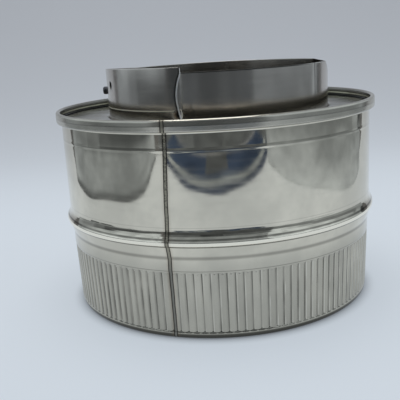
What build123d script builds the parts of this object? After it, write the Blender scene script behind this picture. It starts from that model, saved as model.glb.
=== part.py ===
from build123d import *
import os
from math import cos, pi, radians, sin

# Double-wall flue adapter, standing on its crimped end, flue axis along +Z, front towards -Y.
# Millimetres. Azimuth is measured about the axis from the front, positive towards +X.

# Sheet and clearances
CASING_SHEET = 0.5
LINER_SHEET = 0.5
RING_SHEET = 0.6
FIT = 0.1
WOOL_FIT = 0.2

# Casing wall
CASING_OD = 180.0
CASING_HEIGHT = 113.6

# Rim band and its turned-in lip
BAND_PROUD = 2.8
BAND_HEIGHT = 6.2
BAND_CROWN = 0.2
LIP_WIDTH = 2.6
LIP_DROP = 1.9
LIP_RADIUS = 1.1
BAND_CORNER = 0.8

# Stop bead and the cone below it
BEAD_Z = 52.3
BEAD_PROUD = 2.1
BEAD_CREST = 1.8
BEAD_RISE = 4.7
BEAD_NECK = 1.6
BEAD_NECK_PROUD = 1.2
BEAD_CREST_RADIUS = 0.9
BEAD_FLANK_RADIUS = 9.0
CONE_DROP = 7.9

# Male end: plain band, crimped flutes and turned-under edge
MALE_OD = 178.4
FLUTE_TOP = 36.6
FLUTE_BOTTOM = 3.9
FLUTE_RUNOUT = 1.6
FLUTE_COUNT = 132
FLUTE_STEP = 0.15
FLUTE_STEP_HEIGHT = 0.5
FLUTE_TAPER = 0.9
FLUTE_DEPTH = 0.85
GROOVE_WIDTH = 2.0
GROOVE_SPREAD = 0.8
RIDGE_CROWN = 0.12
EDGE_RADIUS = 2.6
EDGE_FOOT = 3.6

# Liner: spigot, tube and socket
LINER_OD = 128.7
LINER_OFFSET = 2.4
LINER_FOOT = 4.0
SPIGOT_TOP = 133.4
SPIGOT_RISE = 2.7
SPIGOT_RISE_AZIMUTH = -38.0
SOCKET_BORE = 131.0
SOCKET_LENGTH = 44.0
SOCKET_CONE = 5.0

# Dent in the right side of the spigot rim
DENT_DEPTH = 3.8
DENT_HEIGHT = 12.0

# Weld seams
CASING_SEAM_AZIMUTH = -17.0
LINER_SEAM_AZIMUTH = -18.5
SEAM_WIDTH = 1.7
SEAM_PROUD = 0.12

# Closing ring
RING_FLANGE = 3.2
RING_COLLAR = 5.0
RING_BEND = 1.2

# Fixing hole and screw in the spigot
HOLE_DIAMETER = 4.0
HOLE_AZIMUTH = -67.0
HOLE_DROP = 6.4
SCREW_AZIMUTH = -85.0
SCREW_DROP = 10.2
SCREW_SHANK = 2.6
SCREW_LENGTH = 5.0
SCREW_HEAD = 4.4
SCREW_HEAD_HEIGHT = 2.6
SCREW_HEAD_ROUND = 1.1
SCREW_SLOT_WIDTH = 0.8
SCREW_SLOT_DEPTH = 0.9

# Insulation
WOOL_FOOT = 6.0

# Alignments of the primitive solids
ON_FLOOR = (Align.CENTER, Align.CENTER, Align.MIN)
UNDER = (Align.CENTER, Align.CENTER, Align.MAX)
LEFT_OF = (Align.MAX, Align.CENTER, Align.MIN)

# Radii and levels worked out from the sizes above
casing_r = CASING_OD / 2
band_r = casing_r + BAND_PROUD
shoulder_z = CASING_HEIGHT - BAND_HEIGHT
bead_r = casing_r + BEAD_PROUD
male_r = MALE_OD / 2
cone_foot_z = BEAD_Z - CONE_DROP
flute_top_r = male_r - FLUTE_STEP
flute_foot_r = flute_top_r - FLUTE_TAPER
liner_r = LINER_OD / 2
socket_r = SOCKET_BORE / 2 + LINER_SHEET
plate_z = shoulder_z + CASING_SHEET + FIT
hole_z = SPIGOT_TOP - HOLE_DROP
screw_z = SPIGOT_TOP - SCREW_DROP


def sheet(points, radii, thickness):
    """Section of a formed sheet: its outer surface from the foot up, thickened towards the axis."""
    line = FilletPolyline(*points, radius=radii)
    return Plane.XZ * Face(Wire(line.edges()).offset_2d(thickness, side=Side.LEFT))


def block(*points):
    """Section of a solid body of revolution from its (radius, height) corners."""
    return Plane.XZ * make_face(Polyline(*points, close=True))


def turned(section, angle=360.0, azimuth=0.0):
    """A section turned about Z. A part turn is centred on its azimuth."""
    return Rot(0, 0, azimuth - 90 - angle / 2) * revolve(section, Axis.Z, angle)


def on_liner_axis(shape):
    return Pos(LINER_OFFSET, 0, 0) * shape


def radial_plane(azimuth, height):
    """Plane on the liner's outer surface, facing straight out."""
    out = Vector(sin(radians(azimuth)), -cos(radians(azimuth)), 0)
    origin = Vector(LINER_OFFSET, 0, height) + out * liner_r
    return Plane(origin=origin, x_dir=(0, 0, 1), z_dir=out)


def crimp_outline(height, ridge_r, depth, groove_width):
    """Closed outline of the crimped wall at one height: crowned ridges parted by round grooves."""
    pitch = 2 * pi / FLUTE_COUNT
    half_groove = groove_width / ridge_r / 2
    crown_r = ridge_r + RIDGE_CROWN * depth / FLUTE_DEPTH

    def at(radius, angle):
        return Vector(radius * cos(angle), radius * sin(angle), height)

    edges = []
    for index in range(FLUTE_COUNT):
        groove = index * pitch
        start = at(ridge_r, groove - half_groove)
        end = at(ridge_r, groove + half_groove)
        next_start = at(ridge_r, groove + pitch - half_groove)
        edges.append(Edge.make_three_point_arc(start, at(ridge_r - depth, groove), end))
        edges.append(Edge.make_three_point_arc(end, at(crown_r, groove + pitch / 2), next_start))
    return Wire(edges)


def crimp_body(inset, groove_width):
    """Solid inside the crimped wall's surface. The grooves run out at both ends of the tapered wall."""
    top = flute_top_r - inset
    foot = flute_foot_r - inset
    return Solid.make_loft(
        [
            crimp_outline(FLUTE_TOP, top, 0, groove_width),
            crimp_outline(FLUTE_TOP - FLUTE_RUNOUT, top, FLUTE_DEPTH, groove_width),
            crimp_outline(FLUTE_BOTTOM + FLUTE_RUNOUT, foot, FLUTE_DEPTH, groove_width),
            crimp_outline(FLUTE_BOTTOM, foot, 0, groove_width),
        ],
        ruled=True,
    )


def make_outer_casing():
    wall = sheet(
        [
            (flute_top_r, FLUTE_TOP),
            (flute_top_r, FLUTE_TOP + FLUTE_STEP_HEIGHT),
            (male_r, FLUTE_TOP + 2 * FLUTE_STEP_HEIGHT),
            (male_r, cone_foot_z),
            (casing_r + BEAD_NECK_PROUD, BEAD_Z - BEAD_NECK),
            (bead_r, BEAD_Z - BEAD_CREST / 2),
            (bead_r, BEAD_Z + BEAD_CREST / 2),
            (casing_r, BEAD_Z + BEAD_RISE),
            (casing_r, shoulder_z),
            (band_r - BAND_CROWN, shoulder_z),
            (band_r, shoulder_z + BAND_HEIGHT / 2),
            (band_r - BAND_CROWN, CASING_HEIGHT),
            (band_r - LIP_WIDTH, CASING_HEIGHT),
            (band_r - LIP_WIDTH, CASING_HEIGHT - LIP_DROP),
        ],
        [
            BAND_CORNER,
            BAND_CORNER,
            BEAD_FLANK_RADIUS,
            BEAD_CREST_RADIUS,
            BEAD_CREST_RADIUS,
            BEAD_CREST_RADIUS,
            BEAD_FLANK_RADIUS,
            BAND_CORNER,
            BAND_CORNER,
            BAND_CORNER,
            LIP_RADIUS,
            LIP_RADIUS,
        ],
        CASING_SHEET,
    )
    edge = sheet(
        [(flute_foot_r - EDGE_FOOT, 0), (flute_foot_r, 0), (flute_foot_r, FLUTE_BOTTOM)],
        [EDGE_RADIUS],
        CASING_SHEET,
    )
    crimp = crimp_body(0, GROOVE_WIDTH) - crimp_body(CASING_SHEET, GROOVE_WIDTH + GROOVE_SPREAD)
    seam_foot = BEAD_Z + BEAD_RISE + BEAD_FLANK_RADIUS / 3
    seam_top = shoulder_z - BAND_CORNER
    seam = block(
        (casing_r - CASING_SHEET / 2, seam_foot),
        (casing_r + SEAM_PROUD, seam_foot),
        (casing_r + SEAM_PROUD, seam_top),
        (casing_r - CASING_SHEET / 2, seam_top),
    )
    seam_angle = SEAM_WIDTH / casing_r * 180 / pi
    return turned(wall) + turned(seam, seam_angle, CASING_SEAM_AZIMUTH) + [crimp, turned(edge)]


def spigot_body(inset):
    """Solid inside the spigot's surface, pushed in at the right where the rim is dented."""
    side = liner_r - inset
    foot = plate_z + RING_SHEET
    top = SPIGOT_TOP + SPIGOT_RISE
    arc_r = (DENT_HEIGHT**2 + DENT_DEPTH**2) / (2 * DENT_DEPTH) + inset
    dent_foot = SPIGOT_TOP - DENT_HEIGHT
    round_side = Pos(side - arc_r, 0, dent_foot) * Rot(90, 0, 0) * Cylinder(arc_r, 2 * liner_r)
    straight_side = Pos(0, 0, foot) * Box(2 * side, 2 * liner_r, dent_foot - foot, align=ON_FLOOR)
    rest = Pos(side - arc_r, 0, foot) * Box(2 * liner_r, 2 * liner_r, top - foot, align=LEFT_OF)
    column = Pos(0, 0, foot) * Cylinder(side, top - foot, align=ON_FLOOR)
    return column & (round_side + straight_side + rest)


def spigot_rim_lift():
    """What stands above the level rim: a wedge left of the seam, under a plane that falls towards the back."""
    back_azimuth = SPIGOT_RISE_AZIMUTH - 90
    sweep = LINER_SEAM_AZIMUTH - back_azimuth
    wedge = block(
        (0, SPIGOT_TOP),
        (LINER_OD, SPIGOT_TOP),
        (LINER_OD, SPIGOT_TOP + SPIGOT_RISE),
        (0, SPIGOT_TOP + SPIGOT_RISE),
    )
    slope = SPIGOT_RISE / liner_r
    azimuth = radians(SPIGOT_RISE_AZIMUTH)
    normal = (-slope * sin(azimuth), slope * cos(azimuth), 1)
    above = Plane(origin=(0, 0, SPIGOT_TOP), z_dir=normal) * Box(
        3 * LINER_OD, 3 * LINER_OD, LINER_OD, align=ON_FLOOR
    )
    return turned(wedge, sweep, back_azimuth + sweep / 2) - above


def make_inner_liner():
    spigot = spigot_body(0) - spigot_body(LINER_SHEET)
    foot = plate_z + RING_SHEET
    level = Pos(0, 0, foot) * Cylinder(LINER_OD, SPIGOT_TOP - foot, align=ON_FLOOR)
    spigot = spigot & (level + spigot_rim_lift())
    socket_top = LINER_FOOT + SOCKET_LENGTH
    tube = sheet(
        [
            (socket_r, LINER_FOOT),
            (socket_r, socket_top),
            (liner_r, socket_top + SOCKET_CONE),
            (liner_r, foot),
        ],
        [SOCKET_CONE / 2, SOCKET_CONE / 2],
        LINER_SHEET,
    )
    seam_foot = foot + SEAM_WIDTH
    seam_top = SPIGOT_TOP - SEAM_WIDTH
    seam = block(
        (liner_r - LINER_SHEET / 2, seam_foot),
        (liner_r + SEAM_PROUD, seam_foot),
        (liner_r + SEAM_PROUD, seam_top),
        (liner_r - LINER_SHEET / 2, seam_top),
    )
    seam_angle = SEAM_WIDTH / liner_r * 180 / pi
    liner = on_liner_axis(spigot + turned(tube) + turned(seam, seam_angle, LINER_SEAM_AZIMUTH))
    hole = radial_plane(HOLE_AZIMUTH, hole_z) * Cylinder(HOLE_DIAMETER / 2, 2 * HOLE_DIAMETER)
    pilot = radial_plane(SCREW_AZIMUTH, screw_z) * Cylinder(SCREW_SHANK / 2 + FIT, 2 * SCREW_SHANK)
    return liner - hole - pilot


def make_closing_ring():
    """Pressed plate on the ledge inside the rim band, with an upturned flange and a collar round the liner."""
    flange_r = band_r - BAND_CROWN - CASING_SHEET - FIT
    collar_r = liner_r + FIT + RING_SHEET
    collar_outer_r = collar_r + 2 * RING_BEND
    plate = sheet(
        [(liner_r - LINER_OFFSET, plate_z), (flange_r, plate_z), (flange_r, plate_z + RING_FLANGE)],
        [RING_BEND],
        RING_SHEET,
    )
    collar = sheet(
        [(collar_r, plate_z - RING_COLLAR), (collar_r, plate_z), (collar_outer_r, plate_z)],
        [RING_BEND],
        RING_SHEET,
    )
    opening = on_liner_axis(Pos(0, 0, plate_z) * Cylinder(collar_outer_r, 4 * RING_SHEET))
    return turned(plate) - opening + on_liner_axis(turned(collar))


def make_insulation():
    """Wool sleeve that fills the space between casing and liner, open to view at the crimped end."""
    male_side = flute_foot_r - FLUTE_DEPTH - CASING_SHEET - WOOL_FIT
    wall_side = casing_r - CASING_SHEET - WOOL_FIT
    top = plate_z - WOOL_FIT
    socket_end = LINER_FOOT + SOCKET_LENGTH + SOCKET_CONE
    collar_foot = plate_z - RING_COLLAR - WOOL_FIT
    socket_side = socket_r + WOOL_FIT
    liner_side = liner_r + WOOL_FIT
    collar_side = liner_r + FIT + RING_SHEET + RING_BEND + WOOL_FIT
    sleeve = block(
        (0, WOOL_FOOT),
        (male_side, WOOL_FOOT),
        (male_side, cone_foot_z),
        (wall_side, BEAD_Z),
        (wall_side, top),
        (0, top),
    )
    core = block(
        (0, LINER_FOOT),
        (socket_side, LINER_FOOT),
        (socket_side, socket_end),
        (liner_side, socket_end),
        (liner_side, collar_foot),
        (collar_side, collar_foot),
        (collar_side, plate_z),
        (0, plate_z),
    )
    return turned(sleeve) - on_liner_axis(turned(core))


def make_fixing_screw():
    head = Cylinder(SCREW_HEAD / 2, SCREW_HEAD_HEIGHT, align=ON_FLOOR)
    head = fillet(head.edges().sort_by(Axis.Z)[-1], SCREW_HEAD_ROUND)
    slot = Pos(0, 0, SCREW_HEAD_HEIGHT) * Box(SCREW_HEAD, SCREW_SLOT_WIDTH, 2 * SCREW_SLOT_DEPTH)
    shank = Cylinder(SCREW_SHANK / 2, SCREW_LENGTH, align=UNDER)
    return radial_plane(SCREW_AZIMUTH, screw_z) * (head - slot + shank)


nodes = {
    "outer_casing": make_outer_casing(),
    "inner_liner": make_inner_liner(),
    "closing_ring": make_closing_ring(),
    "insulation": make_insulation(),
    "fixing_screw": make_fixing_screw(),
}
os.makedirs("parts", exist_ok=True)
for name, solid in nodes.items():
    export_step(solid, f"parts/{name}.step")
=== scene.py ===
from math import atan2, cos, pi, radians, sin

import bpy
import numpy as np
from mathutils import Matrix, Vector


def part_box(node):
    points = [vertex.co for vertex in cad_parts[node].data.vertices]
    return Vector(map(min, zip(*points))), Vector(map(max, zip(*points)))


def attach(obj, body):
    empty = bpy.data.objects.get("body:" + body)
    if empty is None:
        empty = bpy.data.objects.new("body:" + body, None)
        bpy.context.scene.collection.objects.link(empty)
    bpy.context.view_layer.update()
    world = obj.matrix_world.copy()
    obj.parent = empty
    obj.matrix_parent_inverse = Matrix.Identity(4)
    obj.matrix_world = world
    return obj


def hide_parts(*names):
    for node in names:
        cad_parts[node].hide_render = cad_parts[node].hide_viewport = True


# Double-wall flue adapter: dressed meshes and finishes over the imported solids. Sizes here are in
# millimetres and turn into metres where a mesh is made. Azimuth runs from the front (-Y) towards +X.
MM = 0.001

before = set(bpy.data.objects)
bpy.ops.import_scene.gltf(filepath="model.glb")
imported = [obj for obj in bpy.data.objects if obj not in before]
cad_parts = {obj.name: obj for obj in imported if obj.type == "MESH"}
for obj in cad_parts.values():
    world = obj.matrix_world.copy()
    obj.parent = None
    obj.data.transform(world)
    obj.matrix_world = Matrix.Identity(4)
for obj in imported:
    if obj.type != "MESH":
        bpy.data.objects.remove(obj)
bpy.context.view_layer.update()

# Sheet forms, which follow the solids
SHEET = 0.5
CASING_R = 90.0
CASING_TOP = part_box("outer_casing")[1][2] / MM
BAND_R = CASING_R + 2.8
BAND_HEIGHT = 6.2
BAND_CROWN = 0.2
LIP_WIDTH = 2.6
LIP_DROP = 1.9
BEAD_Z = 52.3
BEAD_PROUD = 2.1
BEAD_CREST = 1.8
BEAD_RISE = 4.7
BEAD_NECK = 1.6
BEAD_NECK_PROUD = 1.2
MALE_R = 89.2
CONE_DROP = 7.9
FLUTE_TOP = 36.6
FLUTE_BOTTOM = 3.9
FLUTE_COUNT = 132
FLUTE_STEP = 0.15
FLUTE_TAPER = 0.9
FLUTE_DEPTH = 0.6
RIB_WIDTH = 3.1
EDGE_FOOT = 3.6
EDGE_RADIUS = 2.6
SMALL_BEND = 0.8
BEAD_BEND = 0.9
LIP_BEND = 1.1
SWEPT_BEND = 9.0

LINER_X = 2.4
LINER_R = 64.35
LINER_FOOT = 4.0
SPIGOT_TOP = 133.4
SPIGOT_RISE = 2.7
SPIGOT_RISE_AZIMUTH = -38.0
SOCKET_R = 66.0
SOCKET_TOP = 48.0
SOCKET_CONE = 5.0
SOCKET_BEND = 2.5
DENT_DEPTH = 3.8
DENT_HEIGHT = 12.0
CURL_ARC = 13.0
CURL_DEPTH = 1.4
CURL_RISE = 6.0
LIFT_HEIGHT = 10.0
PLATE_Z = 108.6
HOLE_R = 2.0
HOLE_AZIMUTH = -67.0
HOLE_Z = 127.0
HOLE_CUT = 8.0

WOOL_GAP = 0.4
WOOL_MALE_INSET = 2.7
WOOL_WAVES = 24
WOOL_LOOSE = 1.6
WOOL_ROUGH = 3.0
WOOL_FADE = 3.0

# Fineness of the meshes: segments around, and the longest run along a section
CASING_SEGMENTS = 2 * FLUTE_COUNT
CRIMP_SEGMENTS = 10 * FLUTE_COUNT
LINER_SEGMENTS = 600
WOOL_SEGMENTS = 480
CASING_RUN = 14.0
LINER_RUN = 2.5
WOOL_RUN = 1.6

# Seams, stains, limits of painted shade and highlights, and other marks on the sheets
CASING_SEAM = -17.0
LINER_SEAM = -17.2
SEAM_WIDTH = 1.7
SEAM_LEAN = 2.0
SEAM_WANDER = 0.6
RIM_INSIDE_R = 91.0
RIM_LIP_Z = 112.6
HEM_TOP = 2.5
LAP_BOW = 2.9
LAP_BOW_Z = 121.0
LAP_BOW_HALF = 12.5
SPOT_LEFT = 2.4
SPOT_Z = 112.4
SPOT_R = 2.6
FOOT_EDGE_Z = 114.4
CREASE_AZIMUTH = 54.0
LOW_LINE = 60.2
ROLLED_LINE = 98.6

# Dark lines painted around the casing: height, half width, blur and how dark they are. Most are painted
# shade: above the bead's crest, under its neck, at the cone's foot, at the step above the flutes and under
# the band. Two faint lines cross the plain wall and one crosses the band.
SHADE_AND_FAINT_LINES = [
    (BEAD_Z + BEAD_CREST / 2 + 1.3, 0.25, 0.35, 0.7),
    (BEAD_Z - BEAD_NECK, 0.15, 0.35, 0.75),
    (BEAD_Z - CONE_DROP, 0.15, 1.4, 0.5),
    (FLUTE_TOP + 0.8, 0.05, 0.35, 0.45),
    (LOW_LINE, 0.0, 0.35, 0.22),
    (ROLLED_LINE, 0.0, 0.35, 0.3),
    (CASING_TOP - BAND_HEIGHT + 0.4, 0.15, 0.35, 0.6),
    (CASING_TOP - BAND_HEIGHT / 2, 0.05, 0.35, 0.35),
]

# Colours of the sheets, the wool and the screw
STEEL = (0.79, 0.738, 0.62, 1)
STEEL_SHADE = (0.64, 0.60, 0.507, 1)
CRIMPED = (0.50, 0.473, 0.404, 1)
BEAD_HIGHLIGHT = (0.98, 0.92, 0.785, 1)
FLUTE_HIGHLIGHT = (0.74, 0.70, 0.61, 1)
GRIME_AND_SHADE = (0.10, 0.095, 0.08, 1)
LINER_SHADE = (0.61, 0.575, 0.545, 1)
RIM_SHADE = (0.40, 0.39, 0.36, 1)
INNER_SHADE = (0.26, 0.25, 0.22, 1)
WELD_DARK_AND_SHADE = (0.03, 0.028, 0.026, 1)
WELD_CORE = (0.33, 0.305, 0.24, 1)
WELD_CRIMPED = (0.24, 0.23, 0.2, 1)
HEAT_TINT = (0.34, 0.25, 0.16, 1)
RING_STAIN = (0.24, 0.225, 0.14, 1)
PAINTED_DEEP_SHADE = (0.035, 0.035, 0.03, 1)
RECESS_PAINTED_LIGHT = (0.62, 0.60, 0.46, 1)
FOOT_GLINT = (0.80, 0.74, 0.58, 1)
EDGE_HIGHLIGHT = (0.86, 0.86, 0.84, 1)
WOOL_BROWN = (0.40, 0.34, 0.20, 1)
WOOL_PALE = (0.55, 0.49, 0.33, 1)
WOOL_DARK = (0.20, 0.16, 0.09, 1)
SCREW_BLACK = (0.06, 0.062, 0.07, 1)
SCREW_WORN = (0.20, 0.19, 0.18, 1)

# Camera, fitted to the photograph in its 400 pixel frame
FRAME_PX = 400.0
FOCAL_PX = 665.9
CAMERA_DISTANCE = 0.4011
CAMERA_HEIGHT = 0.1496
CAMERA_PITCH = 15.265
CAMERA_ROLL = -3.396
CAMERA_YAW = -1.768
PRINCIPAL_DROP_PX = 20.0
SENSOR_MM = 36.0

# Shooting tent, metres. The side walls run from the back to the front along bowed lines on the floor.
TENT_HALF = 0.42
TENT_FRONT = -0.403
TENT_BACK = 0.19
TENT_BOW = 1.8
TENT_FLAT = 0.1
TENT_TOP = 0.75
LEFT_WALL = [
    (-0.40, TENT_BACK),
    (-0.381, 0.08),
    (-0.378, -0.08),
    (-0.33, -0.23),
    (-0.325, -0.32),
    (-0.39, -0.47),
]
RIGHT_WALL = [
    (0.39, TENT_BACK),
    (0.357, 0.10),
    (0.36, -0.10),
    (0.336, -0.25),
    (0.326, -0.34),
    (0.30, -0.45),
]

# The right side's post and back card, mirrored at the left
POST_LINE = [(0.39, TENT_BACK - 0.005), (0.41, TENT_BACK + 0.015)]
POST_TONES = [(0.0, 0.09), (0.06, 0.09)]
BACK_LINE = [(0.395, TENT_BACK), (0.62, 0.6)]
BACK_TONES = [(0.13, 0.40), (TENT_TOP, 0.55)]

# Stretches of the side walls, front and back, which overlap a little
WALL_STRETCHES = {
    "left": (-1.0, -0.05),
    "left_blend": (-0.08, 0.05),
    "left_rear": (0.02, 1.0),
    "right": (-1.0, 0.08),
    "right_light": (0.06, 0.16),
    "right_shade": (0.14, 1.0),
}

# Tones of the side walls by height: the same foot for a side, a middle for each stretch, the same head
WALL_FEET = {
    "left": [(0.0, 0.10), (0.006, 0.12), (0.012, 0.31)],
    "right": [(0.0, 0.36), (0.006, 0.42), (0.014, 0.37)],
}
WALL_MIDDLES = {
    "left": [(0.040, 0.29), (0.055, 0.11), (0.115, 0.09)],
    "left_blend": [(0.042, 0.29), (0.057, 0.17), (0.118, 0.17)],
    "left_rear": [(0.045, 0.28), (0.060, 0.24), (0.120, 0.26)],
    "right": [(0.045, 0.32), (0.070, 0.19), (0.115, 0.17)],
    "right_light": [(0.045, 0.28), (0.070, 0.30), (0.120, 0.33)],
    "right_shade": [(0.045, 0.26), (0.060, 0.06), (0.120, 0.05)],
}
WALL_HEAD = [(0.13, 0.40), (0.16, 0.55), (TENT_TOP, 0.55)]

# The room in front of the tent
ROOM_Y = -0.95
ROOM_HALF = 0.75
ROOM_TONES = [(-0.1, 0.12), (0.3, 0.06), (0.6, 0.25), (0.9, 0.3)]
SHADE_Y = -0.74
SHADE_SIDES = (-0.20, 0.04)
SHADE_TONES = [(-0.02, 0.095), (0.3, 0.04)]

SOFTBOX_PLACE = (-0.05, 0.05, 1.3)
SOFTBOX_TARGET = (0, 0.05, 0)
SOFTBOX_SIZE = (1.0, 0.8)
SOFTBOX_POWER = 6.5
SOFTBOX_COLOUR = (0.98, 0.99, 1.0)

PAPER = (0.34, 0.355, 0.37, 1)
PAPER_GLOW = (0.405, 0.445, 0.49, 1)
PAPER_GLOW_BACK = (0.19, 0.195, 0.212, 1)
GLOW_FADE = (0.1, 0.95)
CONTACT_SHADOW_REACH = (0.080, 0.095)
SWEEP_NEAR = -0.3
SWEEP_BEND = 0.45
SWEEP_RADIUS = 0.45
SWEEP_TOP = 1.2
SWEEP_SPREAD = 0.9
GROUND_HALF = 3.0
GROUND_Z = -0.004
STRIP_Z = -0.002
MAT_Z = -0.001
ROOM_COLOUR = (0.80, 0.83, 0.88, 1)
ROOM_STRENGTH = 0.16
BACKDROP_STRENGTH = 0.5


# Outlines and meshes

def wrapped(angle):
    """An angle brought into half a turn either side of zero."""
    return (angle + pi) % (2 * pi) - pi


def rounded(points, radii, steps=4):
    """A polyline of (radius, height) points with its inner corners rounded by arcs."""
    out = [np.array(points[0], float)]
    for before, corner, after, radius in zip(points, points[1:], points[2:], radii):
        before, corner, after = (np.array(p, float) for p in (before, corner, after))
        to_before = (before - corner) / np.linalg.norm(before - corner)
        to_after = (after - corner) / np.linalg.norm(after - corner)
        half = np.arccos(np.clip(to_before @ to_after, -1, 1)) / 2
        reach = radius / np.tan(half)
        start = corner + to_before * reach
        end = corner + to_after * reach
        bisector = to_before + to_after
        centre = corner + bisector / np.linalg.norm(bisector) * radius / np.sin(half)
        first = atan2(*(start - centre)[::-1])
        turn = wrapped(atan2(*(end - centre)[::-1]) - first)
        for step in range(steps + 1):
            angle = first + turn * step / steps
            out.append(centre + radius * np.array([cos(angle), sin(angle)]))
    out.append(np.array(points[-1], float))
    return np.array(out)


def densified(line, longest, support=0.25):
    """The same line with extra points: no run is longer than the given length, and a long run
    has a point close to either end, so that a bend's shading stays in the bend."""
    out = [line[0]]
    for a, b in zip(line, line[1:]):
        length = np.linalg.norm(b - a)
        parts = max(1, int(np.ceil(length / longest)))
        places = set(np.arange(1, parts + 1) / parts)
        if length > 4 * support:
            places |= {support / length, 1 - support / length}
        out += [a + (b - a) * place for place in sorted(places)]
    return np.array(out)


def sheet_loop(line, thickness, end_steps=3):
    """Closed outline of a sheet from its outer surface, foot first, with rounded cut edges."""
    tangent = np.gradient(line, axis=0)
    tangent /= np.linalg.norm(tangent, axis=1)[:, None]
    inward = np.stack([-tangent[:, 1], tangent[:, 0]], 1)
    inner = line + inward * thickness

    def cap(a, b, direction):
        middle = (a + b) / 2
        radius = thickness / 2
        side = (a - middle) / radius
        angles = [pi * k / (end_steps + 1) for k in range(1, end_steps + 1)]
        return [middle + radius * (side * cos(t) + direction * 0.6 * sin(t)) for t in angles]

    top = cap(line[-1], inner[-1], tangent[-1])
    foot = cap(inner[0], line[0], -tangent[0])
    return np.concatenate([line, top, inner[::-1], foot])


def lathe(name, loops, centre_x=0.0):
    """A mesh of closed (radius, height) loops turned about an axis. Each loop comes with its number
    of segments and, where it has one, a function that forms its points at an azimuth."""
    verts, faces = [], []
    for loop, segments, form in loops:
        base = sum(len(v) for v in verts)
        azimuth = np.linspace(0, 2 * pi, segments, endpoint=False)
        a, r = np.meshgrid(azimuth, loop[:, 0], indexing="ij")
        z = np.broadcast_to(loop[:, 1], a.shape)
        if form:
            r, z = form(a, r, z)
        verts.append(np.stack([centre_x + r * np.sin(a), -r * np.cos(a), z], -1).reshape(-1, 3) * MM)
        count = len(loop)
        i, j = np.meshgrid(np.arange(segments), np.arange(count), indexing="ij")
        here = i * count
        beside = (i + 1) % segments * count
        above = (j + 1) % count
        quad = np.stack([here + j, beside + j, beside + above, here + above], -1)
        faces.append(base + quad.reshape(-1, 4))
    mesh = bpy.data.meshes.new(name)
    mesh.from_pydata(np.concatenate(verts).tolist(), [], np.concatenate(faces).tolist())
    mesh.shade_smooth()
    obj = bpy.data.objects.new(name, mesh)
    bpy.context.collection.objects.link(obj)
    return obj


# Casing

def crimped(azimuth, r, z):
    """Pressed flutes: round ribs with arched ends, standing in a slightly sunk wall."""
    pitch = 2 * pi / FLUTE_COUNT
    across = ((azimuth + pitch / 2) % pitch - pitch / 2) * r
    half = RIB_WIDTH / 2
    past_end = np.maximum(np.maximum(z - FLUTE_TOP + half, FLUTE_BOTTOM + half - z), 0)
    rib = np.clip(1 - (across**2 + past_end**2) / half**2, 0, 1) ** 0.7
    sunk = np.clip((FLUTE_TOP - z) / half, 0, 1) * np.clip((z - FLUTE_BOTTOM) / half, 0, 1)
    return r + FLUTE_DEPTH * np.sqrt(sunk) * (rib - 1), z


def make_casing():
    """Casing sheet above the flutes, and the crimped male end below."""
    shoulder = CASING_TOP - BAND_HEIGHT
    flute_r = MALE_R - FLUTE_STEP
    foot_r = flute_r - FLUTE_TAPER
    upper = rounded(
        [
            (flute_r, FLUTE_TOP),
            (flute_r, FLUTE_TOP + 0.5),
            (MALE_R, FLUTE_TOP + 1.0),
            (MALE_R, BEAD_Z - CONE_DROP),
            (CASING_R + BEAD_NECK_PROUD, BEAD_Z - BEAD_NECK),
            (CASING_R + BEAD_PROUD, BEAD_Z - BEAD_CREST / 2),
            (CASING_R + BEAD_PROUD, BEAD_Z + BEAD_CREST / 2),
            (CASING_R, BEAD_Z + BEAD_RISE),
            (CASING_R, shoulder),
            (BAND_R - BAND_CROWN, shoulder),
            (BAND_R, shoulder + BAND_HEIGHT / 2),
            (BAND_R - BAND_CROWN, CASING_TOP),
            (BAND_R - LIP_WIDTH, CASING_TOP),
            (BAND_R - LIP_WIDTH, CASING_TOP - LIP_DROP),
        ],
        [SMALL_BEND] * 2
        + [SWEPT_BEND]
        + [BEAD_BEND] * 3
        + [SWEPT_BEND]
        + [SMALL_BEND] * 3
        + [LIP_BEND] * 2,
    )
    ends = np.linspace(0, RIB_WIDTH / 2, 8)
    middle = np.linspace(FLUTE_BOTTOM + 4.1, FLUTE_TOP - 4.6, 5)
    levels = np.concatenate([FLUTE_BOTTOM + ends, middle, FLUTE_TOP - ends[::-1]])
    taper = (levels - FLUTE_BOTTOM) / (FLUTE_TOP - FLUTE_BOTTOM)
    crimp = np.stack([foot_r + FLUTE_TAPER * taper, levels], 1)
    edge = rounded([(foot_r - EDGE_FOOT, 0.0), (foot_r, 0.0), (foot_r, FLUTE_BOTTOM)], [EDGE_RADIUS])
    behind = FLUTE_DEPTH + SHEET
    inside = [
        (flute_r - SHEET / 2, FLUTE_TOP + SHEET / 2),
        (flute_r - behind, FLUTE_TOP),
        (foot_r - behind, EDGE_RADIUS),
        (foot_r - EDGE_RADIUS, SHEET),
        (foot_r - EDGE_FOOT, SHEET),
    ]
    return lathe(
        "casing_sheet",
        [
            (sheet_loop(densified(upper, CASING_RUN), SHEET), CASING_SEGMENTS, None),
            (np.vstack([edge[:-1], crimp, inside]), CRIMP_SEGMENTS, crimped),
        ],
    )


# Liner

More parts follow.
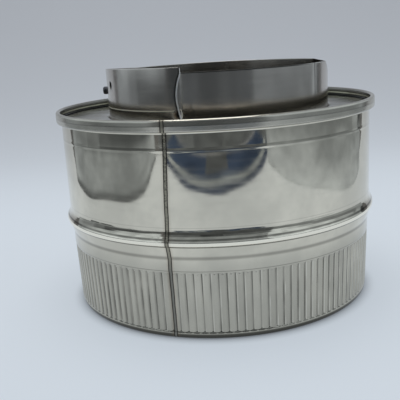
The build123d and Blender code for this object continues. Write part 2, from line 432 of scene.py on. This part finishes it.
def spigot_form(azimuth, r, z):
    """Lap that curls in at the seam, a rim that steps up left of it and a dent in the rim at the right."""
    signed = wrapped(azimuth)
    to_seam = (radians(LINER_SEAM) - signed) / radians(CURL_ARC)
    curl = np.where(to_seam >= 0, np.clip(1 - to_seam, 0, 1), 0) ** 2
    r = r - CURL_DEPTH * curl * np.clip((z - PLATE_Z) / CURL_RISE, 0, 1)
    lift = SPIGOT_RISE * np.cos(signed - radians(SPIGOT_RISE_AZIMUTH))
    raised = (signed < radians(LINER_SEAM)) & (signed > radians(SPIGOT_RISE_AZIMUTH - 90))
    near_top = np.clip((z - (SPIGOT_TOP - LIFT_HEIGHT)) / LIFT_HEIGHT, 0, 1)
    z = z + np.where(raised, lift, 0.0) * near_top
    into_dent = np.clip((z - (SPIGOT_TOP - DENT_HEIGHT)) / DENT_HEIGHT, 0, 1.2)
    limit = r - DENT_DEPTH * into_dent**2
    across = r * np.sin(signed)
    depth = r * np.cos(signed)
    return np.where(across > limit, np.hypot(limit, depth), r), z


def make_liner():
    """Liner tube with its socket at the foot and its spigot at the top."""
    line = rounded(
        [
            (SOCKET_R, LINER_FOOT),
            (SOCKET_R, SOCKET_TOP),
            (LINER_R, SOCKET_TOP + SOCKET_CONE),
            (LINER_R, SPIGOT_TOP),
        ],
        [SOCKET_BEND] * 2,
    )
    loop = sheet_loop(densified(line, LINER_RUN), SHEET)
    return lathe("liner_tube", [(loop, LINER_SEGMENTS, spigot_form)], LINER_X)


def cut_hole(obj, azimuth, z, radius):
    """A round hole straight through the near wall of the liner."""
    out = Vector((sin(radians(azimuth)), -cos(radians(azimuth)), 0))
    bpy.ops.mesh.primitive_cylinder_add(vertices=48, radius=radius * MM, depth=HOLE_CUT * MM)
    cutter = bpy.context.object
    cutter.rotation_mode = "QUATERNION"
    cutter.rotation_quaternion = Vector((0, 0, 1)).rotation_difference(out)
    cutter.location = Vector((LINER_X, 0, z)) * MM + out * LINER_R * MM
    modifier = obj.modifiers.new("hole", "BOOLEAN")
    modifier.operation = "DIFFERENCE"
    modifier.solver = "EXACT"
    modifier.object = cutter
    depsgraph = bpy.context.evaluated_depsgraph_get()
    mesh = bpy.data.meshes.new_from_object(obj.evaluated_get(depsgraph))
    obj.modifiers.clear()
    obj.data = mesh
    bpy.data.objects.remove(cutter)


# Wool

def make_wool():
    """Sleeve of wool that fills the space between the casing and the liner, loose at its foot."""
    low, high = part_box("insulation")
    foot, top = low[2] / MM, high[2] / MM
    inner = SOCKET_R + WOOL_GAP
    male = MALE_R - WOOL_MALE_INSET
    outer = CASING_R - SHEET - WOOL_GAP
    male_top = BEAD_Z - CONE_DROP
    loop = np.array(
        [(inner, foot), (male, foot), (male, male_top), (outer, BEAD_Z), (outer, top), (inner, top)]
    )
    loop = densified(np.vstack([loop, loop[:1]]), WOOL_RUN)[:-1]
    rng = np.random.default_rng(7)
    phase = rng.uniform(0, 2 * pi, (WOOL_WAVES, 3))
    pace = rng.integers(9, 140, WOOL_WAVES)

    def fibrous(azimuth, r, z):
        bumps = np.zeros_like(azimuth)
        for (p, q, s), n in zip(phase, pace):
            around = np.sin(n * azimuth + p + 0.9 * np.sin(r * 1.7 + q))
            bumps = bumps + around * np.sin(r * 0.9 + s) / WOOL_WAVES
        near_foot = np.exp(-(z - foot) / WOOL_FADE)
        towards_liner = (outer - r) / (outer - inner)
        shifted = r + LINER_X * np.sin(azimuth) * towards_liner
        return shifted, z + near_foot * (WOOL_LOOSE + WOOL_ROUGH * bumps)

    return lathe("wool_sleeve", [(loop, WOOL_SEGMENTS, fibrous)])


# Materials

class Nodes:
    """Short calls for building one material's node tree."""

    def __init__(self, name):
        self.material = bpy.data.materials.new(name)
        self.material.use_nodes = True
        self.tree = self.material.node_tree
        self.shader = self.tree.nodes["Principled BSDF"]

    def add(self, kind, **settings):
        node = self.tree.nodes.new(kind)
        for key, value in settings.items():
            setattr(node, key, value)
        return node

    def link(self, source, target):
        self.tree.links.new(source, target)

    def put(self, socket, value):
        if hasattr(value, "is_output"):
            self.link(value, socket)
        else:
            socket.default_value = value

    def math(self, operation, a, b=0.0, clamp=False):
        node = self.add("ShaderNodeMath", operation=operation, use_clamp=clamp)
        self.put(node.inputs[0], a)
        self.put(node.inputs[1], b)
        return node.outputs[0]

    def remap(self, value, from_low, from_high, low, high):
        node = self.add("ShaderNodeMapRange", interpolation_type="SMOOTHSTEP")
        for socket, item in zip(node.inputs, (value, from_low, from_high, low, high)):
            self.put(socket, item)
        return node.outputs[0]

    def mix(self, factor, a, b):
        node = self.add("ShaderNodeMix", data_type="RGBA")
        self.put(node.inputs[0], factor)
        self.put(node.inputs[6], a)
        self.put(node.inputs[7], b)
        return node.outputs[2]

    def noise(self, coordinates, scale, detail=3.0, stretch=None):
        if stretch:
            mapping = self.add("ShaderNodeMapping")
            mapping.inputs["Scale"].default_value = stretch
            self.link(coordinates, mapping.inputs["Vector"])
            coordinates = mapping.outputs[0]
        node = self.add("ShaderNodeTexNoise")
        node.inputs["Scale"].default_value = scale
        node.inputs["Detail"].default_value = detail
        self.link(coordinates, node.inputs["Vector"])
        return node.outputs["Fac"]

    def bump(self, height, strength, distance, normal=None):
        node = self.add("ShaderNodeBump")
        node.inputs["Strength"].default_value = strength
        node.inputs["Distance"].default_value = distance
        self.link(height, node.inputs["Height"])
        if normal:
            self.link(normal, node.inputs["Normal"])
        return node.outputs[0]

    def product(self, value, *others):
        """Several factors multiplied."""
        for other in others:
            value = self.math("MULTIPLY", value, other)
        return value

    def hypot(self, a, b):
        """Length of the vector with these two parts."""
        return self.math("SQRT", self.math("ADD", self.product(a, a), self.product(b, b)))

    def set(self, name, value):
        """Give an input of the shader a value or a link."""
        self.put(self.shader.inputs[name], value)


class Steel(Nodes):
    """Bright rolled stainless sheet: soft waves, fine scuffs and a wandering weld seam."""

    def __init__(self, name, seam_azimuth, radius, centre_x, roughness, scuffing=1.0):
        super().__init__(name)
        self.place = self.add("ShaderNodeTexCoord").outputs["Object"]
        split = self.add("ShaderNodeSeparateXYZ")
        self.link(self.place, split.inputs[0])
        self.z = split.outputs[2]
        x = self.math("SUBTRACT", split.outputs[0], centre_x * MM)
        ahead = self.math("MULTIPLY", split.outputs[1], -1.0)
        self.azimuth = self.math("ARCTAN2", x, ahead)
        self.reach = self.hypot(x, ahead)
        self.radius = radius * MM
        sway = self.math("SUBTRACT", self.noise(self.place, 90.0, 2.0), 0.5)
        wander = self.product(sway, SEAM_WANDER * MM)
        self.along = self.math("ADD", self.from_azimuth(seam_azimuth), wander)
        cloud = self.noise(self.place, 24.0, 4.0)
        stain = self.math("ADD", cloud, self.product(self.noise(self.place, 110.0, 4.0), 0.35))
        self.base = self.mix(self.remap(stain, 0.5, 0.85, 0.0, 1.0), STEEL, STEEL_SHADE)
        scuff = self.noise(self.place, 420.0, 5.0, (0.1, 0.1, 1.0))
        spread = 0.3 * scuffing
        self.rough = self.remap(scuff, 0.35, 0.75, roughness * (1 - spread), roughness * (1 + spread))
        waves = self.noise(self.place, 19.0, 1.5, (1.0, 1.0, 0.8))
        self.normal = self.bump(scuff, 0.005 * scuffing, 0.0003, self.bump(waves, 0.27, 0.004))

    def from_azimuth(self, azimuth):
        """Arc length from an azimuth, positive towards the right."""
        return self.product(self.math("SUBTRACT", self.azimuth, radians(azimuth)), self.radius)

    def fade(self, value, start, end, low, high):
        """Remap from a start and an end in millimetres."""
        return self.remap(value, start * MM, end * MM, low, high)

    def stripe(self, position, centre, half_width, blur):
        """1 within half a width of a place, falling to 0 over the blur."""
        distance = self.math("ABSOLUTE", self.math("SUBTRACT", position, centre * MM))
        return self.fade(distance, half_width, half_width + blur, 1.0, 0.0)

    def distance(self, across, height):
        """Distance in the sheet from a place given by its arc length and its height."""
        return self.hypot(across, self.math("SUBTRACT", self.z, height * MM))

    def between(self, low, high, blur):
        """1 between two heights, falling to 0 over the blur at either end."""
        rise = self.fade(self.z, low, low + blur, 0.0, 1.0)
        return self.product(rise, self.fade(self.z, high, high + blur, 1.0, 0.0))

    def flute_turn(self):
        """Azimuth counted in ribs."""
        return self.product(self.azimuth, FLUTE_COUNT / (2 * pi))

    def flute_phase(self):
        """Place across a rib's pitch, from -0.5 to 0.5 with the gap at 0."""
        return self.math("SUBTRACT", self.math("FRACT", self.flute_turn()), 0.5)

    def rib_tone(self):
        """A random value for each rib, from 0 to 1."""
        tone = self.add("ShaderNodeTexWhiteNoise", noise_dimensions="1D")
        self.link(self.math("ROUND", self.flute_turn()), tone.inputs["W"])
        return tone.outputs["Value"]

    def flute_highlight(self):
        """Painted highlight along the side of each gap, in patches."""
        off = self.math("ABSOLUTE", self.math("SUBTRACT", self.flute_phase(), 0.17))
        patchiness = self.remap(self.noise(self.place, 160.0, 3.0, (1.0, 1.0, 0.4)), 0.4, 0.65, 0.0, 0.6)
        return self.product(self.remap(off, 0.02, 0.09, 1.0, 0.0), patchiness)

    def flute_gap(self):
        """Painted shade: 1 in the gaps between the ribs, with a softer shade on one flank, weaker at the
        front.
        """
        phase = self.flute_phase()
        patchiness = self.remap(self.noise(self.place, 130.0, 4.0, (1.0, 1.0, 0.35)), 0.3, 0.7, 0.35, 1.0)
        rise = self.remap(phase, -0.34, -0.05, 0.0, 1.0)
        fall = self.remap(phase, 0.03, 0.12, 1.0, 0.0)
        turned = self.remap(self.math("ABSOLUTE", self.azimuth), radians(5.0), radians(40.0), 0.3, 0.85)
        flank = self.product(rise, fall, turned)
        line = self.remap(self.math("ABSOLUTE", phase), 0.04, 0.10, 1.0, 0.0)
        return self.product(self.math("MAXIMUM", flank, line), patchiness)

    def inward(self):
        """1 on the faces that look towards the axis."""
        dot = self.add("ShaderNodeVectorMath", operation="DOT_PRODUCT")
        self.link(self.add("ShaderNodeNewGeometry").outputs["Normal"], dot.inputs[0])
        self.link(self.place, dot.inputs[1])
        return self.remap(dot.outputs["Value"], -0.02, -0.005, 1.0, 0.0)

    def tint(self, factor, colour):
        self.base = self.mix(factor, self.base, colour)

    def roughen(self, mask, amount):
        self.rough = self.math("ADD", self.rough, self.product(mask, amount))

    def close(self, metallic=1.0):
        """Link what was gathered to the shader."""
        self.set("Base Color", self.base)
        self.set("Metallic", metallic)
        self.set("Roughness", self.rough)
        self.set("Normal", self.normal)
        return self.material


def finish_crimp(n, worked):
    """Duller metal at the crimped end, with random darker ribs, painted shade between the ribs and along
    the turned-under edge, and a painted highlight beside each gap.
    """
    mottle = n.remap(n.noise(n.place, 75.0, 5.0, (1.0, 1.0, 0.6)), 0.3, 0.7, 0.72, 1.0)
    n.tint(n.product(worked, mottle), CRIMPED)
    n.roughen(worked, 0.08)
    fluted = n.between(FLUTE_BOTTOM, FLUTE_TOP - 0.6, 0.6)
    n.tint(n.product(n.rib_tone(), fluted, 0.16), GRIME_AND_SHADE)
    # Painted shade in the gaps between the ribs
    n.tint(n.product(n.flute_gap(), fluted, 0.95), GRIME_AND_SHADE)
    # Painted highlight beside each gap
    n.tint(n.product(n.flute_highlight(), fluted), FLUTE_HIGHLIGHT)
    # Painted shade along the turned-under edge
    n.tint(n.fade(n.z, HEM_TOP, HEM_TOP + 1.2, 0.95, 0.0), GRIME_AND_SHADE)


def finish_bead(n):
    """Painted highlight along the bead, dark lines that are mostly painted shade, and a slight unevenness.
    """
    # Painted highlight: a bright band across the bead's crest
    n.tint(n.stripe(n.z, BEAD_Z - BEAD_NECK + 1.7, 1.0, 0.7), BEAD_HIGHLIGHT)
    # Painted shade lines at the bead, the cone, the step and the band, and faint lines on the wall and
    # across the band
    for height, half_width, blur, depth in SHADE_AND_FAINT_LINES:
        n.tint(n.product(n.stripe(n.z, height, half_width, blur), depth), GRIME_AND_SHADE)
    uneven = n.math("SUBTRACT", n.noise(n.place, 40.0, 2.0, (1.0, 1.0, 1.6)), 0.5)
    around = n.between(BEAD_Z - 2.0, BEAD_Z + 5.0, 6.0)
    n.normal = n.bump(n.product(uneven, around), 0.25, 0.003, n.normal)


def finish_rim(n):
    """Painted shade inside the rim, also over its lip at the back, and a duller band around it."""
    inside = n.fade(n.reach, RIM_INSIDE_R, RIM_INSIDE_R + 0.6, 1.0, 0.0)
    inside = n.product(inside, n.fade(n.z, CASING_TOP - 6.0, CASING_TOP - 4.0, 0.0, 1.0))
    # Painted shade on the rim's inside, and over its lip at the back
    n.tint(n.product(inside, n.fade(n.z, RIM_LIP_Z, RIM_LIP_Z + 0.8, 0.9, 0.0)), INNER_SHADE)
    behind = n.remap(n.math("ABSOLUTE", n.azimuth), radians(75.0), radians(100.0), 0.0, 0.8)
    n.tint(n.product(inside, behind), INNER_SHADE)
    shoulder = CASING_TOP - BAND_HEIGHT
    band = n.fade(n.z, shoulder - 0.5, shoulder + 0.5, 0.0, 1.0)
    n.tint(n.product(band, 0.35), RIM_SHADE)
    n.roughen(band, 0.15)


def finish_weld(n, worked):
    """Rippled weld with two dark edges, which leans to the right above the bead."""
    half = SEAM_WIDTH / 2
    seam = n.math("SUBTRACT", n.along, n.fade(n.z, BEAD_Z, CASING_TOP, 0.0, SEAM_LEAN * MM))
    core = n.stripe(seam, 0.0, half, 0.15)
    n.tint(n.product(n.stripe(seam, 0.0, half, 2.0), 0.25), HEAT_TINT)
    n.tint(core, n.mix(worked, WELD_CORE, WELD_CRIMPED))
    for side in (-half, half):
        n.tint(n.product(n.stripe(seam, side, 0.12, 0.3), 0.92), WELD_DARK_AND_SHADE)
    n.roughen(core, 0.2)
    ripple = n.noise(n.place, 900.0, 2.0, (1.0, 1.0, 0.6))
    n.normal = n.bump(n.product(core, ripple), 0.35, 0.0005, n.normal)


def casing_material():
    """Mirror-bright casing sheet, duller where it was worked."""
    n = Steel("casing_stainless", CASING_SEAM, CASING_R, 0.0, 0.07)
    n.normal = n.bump(n.stripe(n.z, ROLLED_LINE, 0.0, 1.4), 1.0, 0.00004, n.normal)
    worked = n.fade(n.z, FLUTE_TOP - 2.0, BEAD_Z - 4.0, 1.0, 0.0)
    finish_crimp(n, worked)
    finish_bead(n)
    finish_rim(n)
    finish_weld(n, worked)
    return n.close()


def bowed_lap(n):
    """Arc length from the liner's lap edge, which bows to the left at mid height."""
    height = n.math("DIVIDE", n.math("SUBTRACT", n.z, LAP_BOW_Z * MM), LAP_BOW_HALF * MM)
    bow = n.math("SUBTRACT", 1.0, n.product(height, height), clamp=True)
    return n.math("ADD", n.along, n.product(bow, LAP_BOW * MM))


def shade_liner(n, lap, left, above):
    """Painted shade inside, beside the lap, on the cut rim at the right and around the fixing hole, and
    darker towards the foot.
    """
    inward = n.inward()
    # Painted shade on the inner faces
    n.tint(n.product(inward, 0.3), INNER_SHADE)
    # Painted shade beside the lap
    n.tint(n.product(n.fade(lap, -16.0, -1.5, 0.0, 0.5), left, above), GRIME_AND_SHADE)
    # Darker towards the foot
    foot = n.fade(n.z, PLATE_Z + 5.0, PLATE_Z + 11.0, 0.35, 0.0)
    less_at_left = n.remap(n.stripe(lap, -30.0, 29.0, 2.0), 0.0, 1.0, 1.0, 0.3)
    n.tint(n.product(foot, n.math("SUBTRACT", 1.0, inward), less_at_left), GRIME_AND_SHADE)
    # Painted shade on the cut rim at the right
    rim = n.fade(n.z, SPIGOT_TOP - 0.5, SPIGOT_TOP - 0.2, 0.0, 0.97)
    right = n.product(n.fade(lap, 60.0, 90.0, 1.0, 0.0), n.fade(lap, 0.0, 0.6, 0.0, 1.0))
    n.tint(n.product(rim, right), PAINTED_DEEP_SHADE)
    # Painted shade around the fixing hole
    from_hole = n.distance(n.from_azimuth(HOLE_AZIMUTH), HOLE_Z)
    n.tint(n.fade(from_hole, HOLE_R, HOLE_R + 0.5, 0.97, 0.0), PAINTED_DEEP_SHADE)


def burn_spot(n, lap, left):
    """Burnt weld spot, and a painted highlight along the foot and around the spot. Returns the highlight's
    mask.
    """
    across = n.math("ADD", n.along, SPOT_LEFT * MM)
    far = n.distance(across, SPOT_Z)
    edge = n.product(n.stripe(n.z, FOOT_EDGE_Z, 0.1, 0.3), left, n.fade(lap, -130.0, -90.0, 0.0, 1.0))
    edge = n.product(edge, n.fade(far, SPOT_R, SPOT_R + 0.4, 0.0, 1.0))
    ring = n.product(n.stripe(far, SPOT_R + 0.3, 0.1, 0.3), n.fade(across, -0.5, 0.5, 0.3, 1.0))
    glint = n.math("MAXIMUM", edge, ring)
    # Painted highlight along the foot and around the burnt spot
    n.tint(n.product(glint, 0.8), FOOT_GLINT)
    n.tint(n.fade(far, 1.2, SPOT_R, 0.85, 0.0), HEAT_TINT)
    n.tint(n.fade(far, 0.8, 1.7, 0.9, 0.0), WELD_DARK_AND_SHADE)
    return glint


def liner_material():
    """Liner sheet with its bowed lap edge, drawn as a painted highlight with a painted shadow at its left,
    a burnt weld spot at its foot and a crease at the right, drawn as a painted shade line.
    """
    n = Steel("liner_stainless", LINER_SEAM, LINER_R, LINER_X, 0.17, 0.3)
    n.tint(0.7, LINER_SHADE)
    lap = bowed_lap(n)
    left = n.fade(lap, -1.5, -0.5, 1.0, 0.0)
    above = n.fade(n.z, PLATE_Z + 0.5, PLATE_Z + 1.5, 0.0, 1.0)
    shade_liner(n, lap, left, above)
    glint = burn_spot(n, lap, left)
    # Painted shadow just left of the lap edge
    n.tint(n.product(n.stripe(lap, -0.5, 0.2, 0.7), above, 0.85), WELD_DARK_AND_SHADE)
    # Painted shade along a crease at the right
    crease = n.stripe(n.from_azimuth(CREASE_AZIMUTH), 0.0, 0.15, 0.35)
    n.tint(n.product(crease, above, 0.85), WELD_DARK_AND_SHADE)
    # Painted highlight along the lap edge
    bright = n.product(n.stripe(lap, 0.35, 0.25, 0.25), above)
    n.tint(bright, EDGE_HIGHLIGHT)
    matt = n.math("MAXIMUM", bright, glint)
    n.roughen(matt, 0.3)
    return n.close(n.remap(matt, 0.0, 1.0, 1.0, 0.25))


def ring_material():
    """Duller pressed steel darkened by painted shade, stained in patches, with painted shade in the recess
    at its flange and a painted light stripe in it.
    """
    n = Steel("ring_stainless", CASING_SEAM, CASING_R, 0.0, 0.2)
    # Painted shade: the whole ring darkened
    n.tint(0.75, INNER_SHADE)
    n.tint(n.remap(n.noise(n.place, 70.0, 3.0), 0.58, 0.72, 0.0, 0.7), RING_STAIN)
    flange = n.fade(n.reach, CASING_R - 1.2, CASING_R - 0.4, 0.0, 0.95)
    # Painted shade in the recess at the flange
    n.tint(flange, PAINTED_DEEP_SHADE)
    # Painted light: a lighter stripe in the recess
    n.tint(n.product(flange, n.stripe(n.z, PLATE_Z + 1.8, 0.25, 0.4)), RECESS_PAINTED_LIGHT)
    return n.close()


def wool_material():
    """Matt mineral wool in two browns, dark between its fibres."""
    n = Nodes("mineral_wool")
    place = n.add("ShaderNodeTexCoord").outputs["Object"]
    fibre = n.noise(place, 620.0, 6.0, (1.0, 1.0, 0.3))
    patch = n.noise(place, 45.0, 3.0)
    colour = n.mix(n.remap(patch, 0.3, 0.7, 0.0, 1.0), WOOL_BROWN, WOOL_PALE)
    colour = n.mix(n.remap(fibre, 0.3, 0.7, 0.5, 0.0), colour, WOOL_DARK)
    n.set("Base Color", colour)
    n.set("Roughness", 0.95)
    n.set("Sheen Weight", 0.3)
    n.set("Normal", n.bump(fibre, 0.9, 0.002))
    return n.material


def screw_material():
    """Blackened screw, worn in places."""
    n = Nodes("dark_screw")
    place = n.add("ShaderNodeTexCoord").outputs["Object"]
    patchiness = n.noise(place, 900.0, 4.0)
    n.set("Base Color", n.mix(n.remap(patchiness, 0.55, 0.7, 0.0, 1.0), SCREW_BLACK, SCREW_WORN))
    n.set("Metallic", 0.7)
    n.set("Roughness", n.remap(patchiness, 0.3, 0.7, 0.35, 0.6))
    n.set("Normal", n.bump(patchiness, 0.2, 0.0003))
    return n.material


def dress(obj, material):
    obj.data.materials.clear()
    obj.data.materials.append(material)


# Stage

def mesh_object(name, verts, faces, material):
    mesh = bpy.data.meshes.new(name)
    mesh.from_pydata(verts, [], faces)
    mesh.shade_smooth()
    obj = bpy.data.objects.new(name, mesh)
    bpy.context.collection.objects.link(obj)
    dress(obj, material)
    return obj


def paper(name):
    """Matt pale paper, still without a glow."""
    n = Nodes(name)
    n.set("Base Color", PAPER)
    n.set("Roughness", 1.0)
    n.set("Specular IOR Level", 0.0)
    return n


def sweep_material():
    """Paper with a glow that fades towards the back and is left out under the part, a painted contact
    shadow.
    """
    n = paper("sweep_paper")
    split = n.add("ShaderNodeSeparateXYZ")
    n.link(n.add("ShaderNodeTexCoord").outputs["Object"], split.inputs[0])
    x, y = split.outputs[:2]
    n.set("Emission Color", n.mix(n.remap(y, *GLOW_FADE, 1.0, 0.0), PAPER_GLOW_BACK, PAPER_GLOW))
    # Painted contact shadow: no glow close under the part
    n.set("Emission Strength", n.remap(n.hypot(x, y), *CONTACT_SHADOW_REACH, 0.0, 1.0))
    return n.material


def front_edge(x):
    """Depth of the tent floor's front edge, which curves away at the sides."""
    return TENT_FRONT - TENT_BOW * max(abs(x) - TENT_FLAT, 0) ** 2


def grid_object(name, rows, material):
    """A surface through rows of points that all have the same number of points."""
    count = len(rows[0])
    verts = [point for row in rows for point in row]
    faces = [
        (r * count + c, r * count + c + 1, (r + 1) * count + c + 1, (r + 1) * count + c)
        for r in range(len(rows) - 1)
        for c in range(count - 1)
    ]
    return mesh_object(name, verts, faces, material)


def make_ground():
    """Pale floor around the tent, for views from other sides."""
    n = paper("ground_paper")
    n.set("Emission Color", PAPER_GLOW)
    n.set("Emission Strength", 1.0)
    ends = (-GROUND_HALF, GROUND_HALF)
    rows = [[(x, y, GROUND_Z) for x in ends] for y in ends]
    ground = grid_object("ground", rows, n.material)
    ground.visible_glossy = False
    ground.visible_diffuse = False


def make_sweep():
    """Pale floor of the shooting tent, curving up into its back wall."""
    line = [(SWEEP_NEAR, 0.0), (TENT_BACK, 0.0), (SWEEP_BEND, 0.0)]
    for t in np.linspace(0, pi / 2, 24)[1:]:
        line.append((SWEEP_BEND + SWEEP_RADIUS * sin(t), SWEEP_RADIUS * (1 - cos(t))))
    line.append((SWEEP_BEND + SWEEP_RADIUS, SWEEP_TOP))
    across = np.linspace(-1, 1, 25)
    rows = [[(TENT_HALF * a, front_edge(TENT_HALF * a), 0.0) for a in across]]
    for y, z in line:
        half_width = TENT_HALF + SWEEP_SPREAD * max(y - TENT_BACK, 0)
        rows.append([(half_width * a, y, z) for a in across])
    grid_object("sweep", rows, sweep_material())


def grey(tone):
    """A slightly cold grey."""
    return (tone, tone * 1.12, tone * 1.23)


def glow_material(name, stops):
    """A matt surface of its own tone, given at one or more heights."""
    n = Nodes(name)
    n.set("Base Color", (0, 0, 0, 1))
    n.set("Specular IOR Level", 0.0)
    place = n.add("ShaderNodeTexCoord").outputs["Object"]
    uneven = n.noise(place, 8.0, 3.0, (1.0, 1.0, 4.0))
    n.set("Emission Strength", n.remap(uneven, 0.3, 0.7, 0.75, 1.25))
    if len({colour for _, colour in stops}) == 1:
        n.set("Emission Color", (*stops[0][1], 1))
        return n.material
    split = n.add("ShaderNodeSeparateXYZ")
    n.link(place, split.inputs[0])
    foot, head = stops[0][0], stops[-1][0]
    ramp = n.add("ShaderNodeValToRGB")
    n.link(n.math("DIVIDE", n.math("SUBTRACT", split.outputs[2], foot), head - foot), ramp.inputs[0])
    elements = ramp.color_ramp.elements
    for index, (height, colour) in enumerate(stops):
        position = (height - foot) / (head - foot)
        element = elements[index] if index < 2 else elements.new(position)
        element.position = position
        element.color = (*colour, 1)
    n.set("Emission Color", ramp.outputs[0])
    return n.material


def bowed(points, steps=8):
    """A smooth line through points on the floor."""
    p = np.array(points, float)
    p = np.vstack([2 * p[0] - p[1], p, 2 * p[-1] - p[-2]])
    out = []
    for a, b, c, d in zip(p, p[1:], p[2:], p[3:]):
        for t in np.arange(steps) / steps:
            pull = (c - a) * t + (2 * a - 5 * b + 4 * c - d) * t**2 + (3 * b - a - 3 * c + d) * t**3
            out.append(b + pull / 2)
    return np.array(out + [p[-2]])


def reflection_only(card):
    """Keep a card out of direct sight, and its shadow off the floor."""
    card.visible_camera = False
    card.visible_shadow = False


def make_wall(name, line, tones):
    """An upright card along a floor line, seen only as a reflection, with greys given by height."""
    rows = [[(x, y, height) for x, y in line] for height in (tones[0][0], tones[-1][0])]
    stops = [(height, grey(tone)) for height, tone in tones]
    card = grid_object(name, rows, glow_material(name, stops))
    reflection_only(card)


def make_strip(name, near, far, colour, left=-TENT_HALF, right=TENT_HALF, height=STRIP_Z):
    """A strip along the front of the tent floor, between two distances in front of its edge."""
    across = np.linspace(left, right, 25)
    rows = [[(x, front_edge(x) - distance, height) for x in across] for distance in (near, far)]
    strip = grid_object(name, rows, glow_material(name, [(0.0, colour)]))
    reflection_only(strip)
    strip.visible_diffuse = False


def make_softbox():
    lamp = bpy.data.lights.new("top_softbox", "AREA")
    lamp.shape = "RECTANGLE"
    lamp.size, lamp.size_y = SOFTBOX_SIZE
    lamp.energy = SOFTBOX_POWER
    lamp.color = SOFTBOX_COLOUR
    obj = bpy.data.objects.new("top_softbox", lamp)
    place = Vector(SOFTBOX_PLACE)
    obj.location = place
    obj.rotation_euler = (Vector(SOFTBOX_TARGET) - place).to_track_quat("-Z", "Y").to_euler()
    bpy.context.collection.objects.link(obj)


def make_sides():
    """Bowed side walls in stretches of different greys, with a post and a back card at either end."""
    lines = {"left": bowed(LEFT_WALL), "right": bowed(RIGHT_WALL)}
    for name, (front, back) in WALL_STRETCHES.items():
        side = name.split("_")[0]
        line = lines[side]
        stretch = line[(line[:, 1] > front) & (line[:, 1] < back)]
        make_wall(name + "_wall", stretch, WALL_FEET[side] + WALL_MIDDLES[name] + WALL_HEAD)
    for name, sign in (("left", -1), ("right", 1)):
        make_wall(name + "_back", [(sign * x, y) for x, y in BACK_LINE], BACK_TONES)
        make_wall(name + "_post", [(sign * x, y) for x, y in POST_LINE], POST_TONES)


def make_front():
    """The tent's open front: its hem and flap, a table beyond it and a dark room."""
    make_strip("front_hem", 0.0, 0.04, (0.04, 0.055, 0.095))
    make_strip("front_flap", 0.04, 0.07, (0.31, 0.345, 0.365))
    make_strip("front_table", 0.07, 0.24, (0.04, 0.06, 0.105))
    make_strip("front_mat", 0.10, 0.24, grey(0.075), -0.08, 0.06, MAT_Z)
    make_strip("front_shelf", 0.24, 0.265, (0.24, 0.255, 0.275))
    make_wall("front_room", [(-ROOM_HALF, ROOM_Y), (ROOM_HALF, ROOM_Y)], ROOM_TONES)
    make_wall("front_shade", [(x, SHADE_Y) for x in SHADE_SIDES], SHADE_TONES)


def make_world():
    """Dim room light, which looks paler as a backdrop."""
    world = bpy.data.worlds.new("room")
    world.use_nodes = True
    tree = world.node_tree
    background = tree.nodes["Background"]
    background.inputs["Color"].default_value = ROOM_COLOUR
    strength = tree.nodes.new("ShaderNodeMapRange")
    strength.inputs["To Min"].default_value = ROOM_STRENGTH
    strength.inputs["To Max"].default_value = BACKDROP_STRENGTH
    seen = tree.nodes.new("ShaderNodeLightPath").outputs["Is Camera Ray"]
    tree.links.new(seen, strength.inputs["Value"])
    tree.links.new(strength.outputs[0], background.inputs["Strength"])
    bpy.context.scene.world = world


def make_stage():
    """A small shooting tent: pale floor and back, greyer sides, open to a dark room at the front."""
    make_ground()
    make_sweep()
    make_softbox()
    make_sides()
    make_front()
    make_world()


def make_camera():
    """Camera of the photograph, level frame first, then pitched and rolled."""
    yaw, pitch, roll = (radians(a) for a in (CAMERA_YAW, CAMERA_PITCH, CAMERA_ROLL))
    level = Vector((sin(yaw), cos(yaw), 0))
    side = Vector((cos(yaw), -sin(yaw), 0))
    up = Vector((0, 0, 1))
    ahead = level * cos(pitch) - up * sin(pitch)
    over = level * sin(pitch) + up * cos(pitch)
    right = side * cos(roll) + over * sin(roll)
    top = over * cos(roll) - side * sin(roll)
    data = bpy.data.cameras.new("camera")
    data.sensor_width = SENSOR_MM
    data.lens = FOCAL_PX / FRAME_PX * SENSOR_MM
    data.shift_y = PRINCIPAL_DROP_PX / FRAME_PX
    data.clip_start = 0.01
    obj = bpy.data.objects.new("camera", data)
    turn = Matrix((right, top, -ahead)).transposed().to_4x4()
    obj.matrix_world = Matrix.Translation((0, -CAMERA_DISTANCE, CAMERA_HEIGHT)) @ turn
    bpy.context.collection.objects.link(obj)
    bpy.context.scene.camera = obj


casing_steel = casing_material()
liner_steel = liner_material()

casing = make_casing()
dress(casing, casing_steel)
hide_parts("outer_casing")

liner = make_liner()
cut_hole(liner, HOLE_AZIMUTH, HOLE_Z, HOLE_R)
dress(liner, liner_steel)
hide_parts("inner_liner")

wool = make_wool()
dress(wool, wool_material())
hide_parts("insulation")

for piece in (casing, liner, wool):
    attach(piece, "root")
dress(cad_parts["closing_ring"], ring_material())
dress(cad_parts["fixing_screw"], screw_material())

make_stage()
make_camera()
bpy.context.scene.view_settings.view_transform = "Standard"
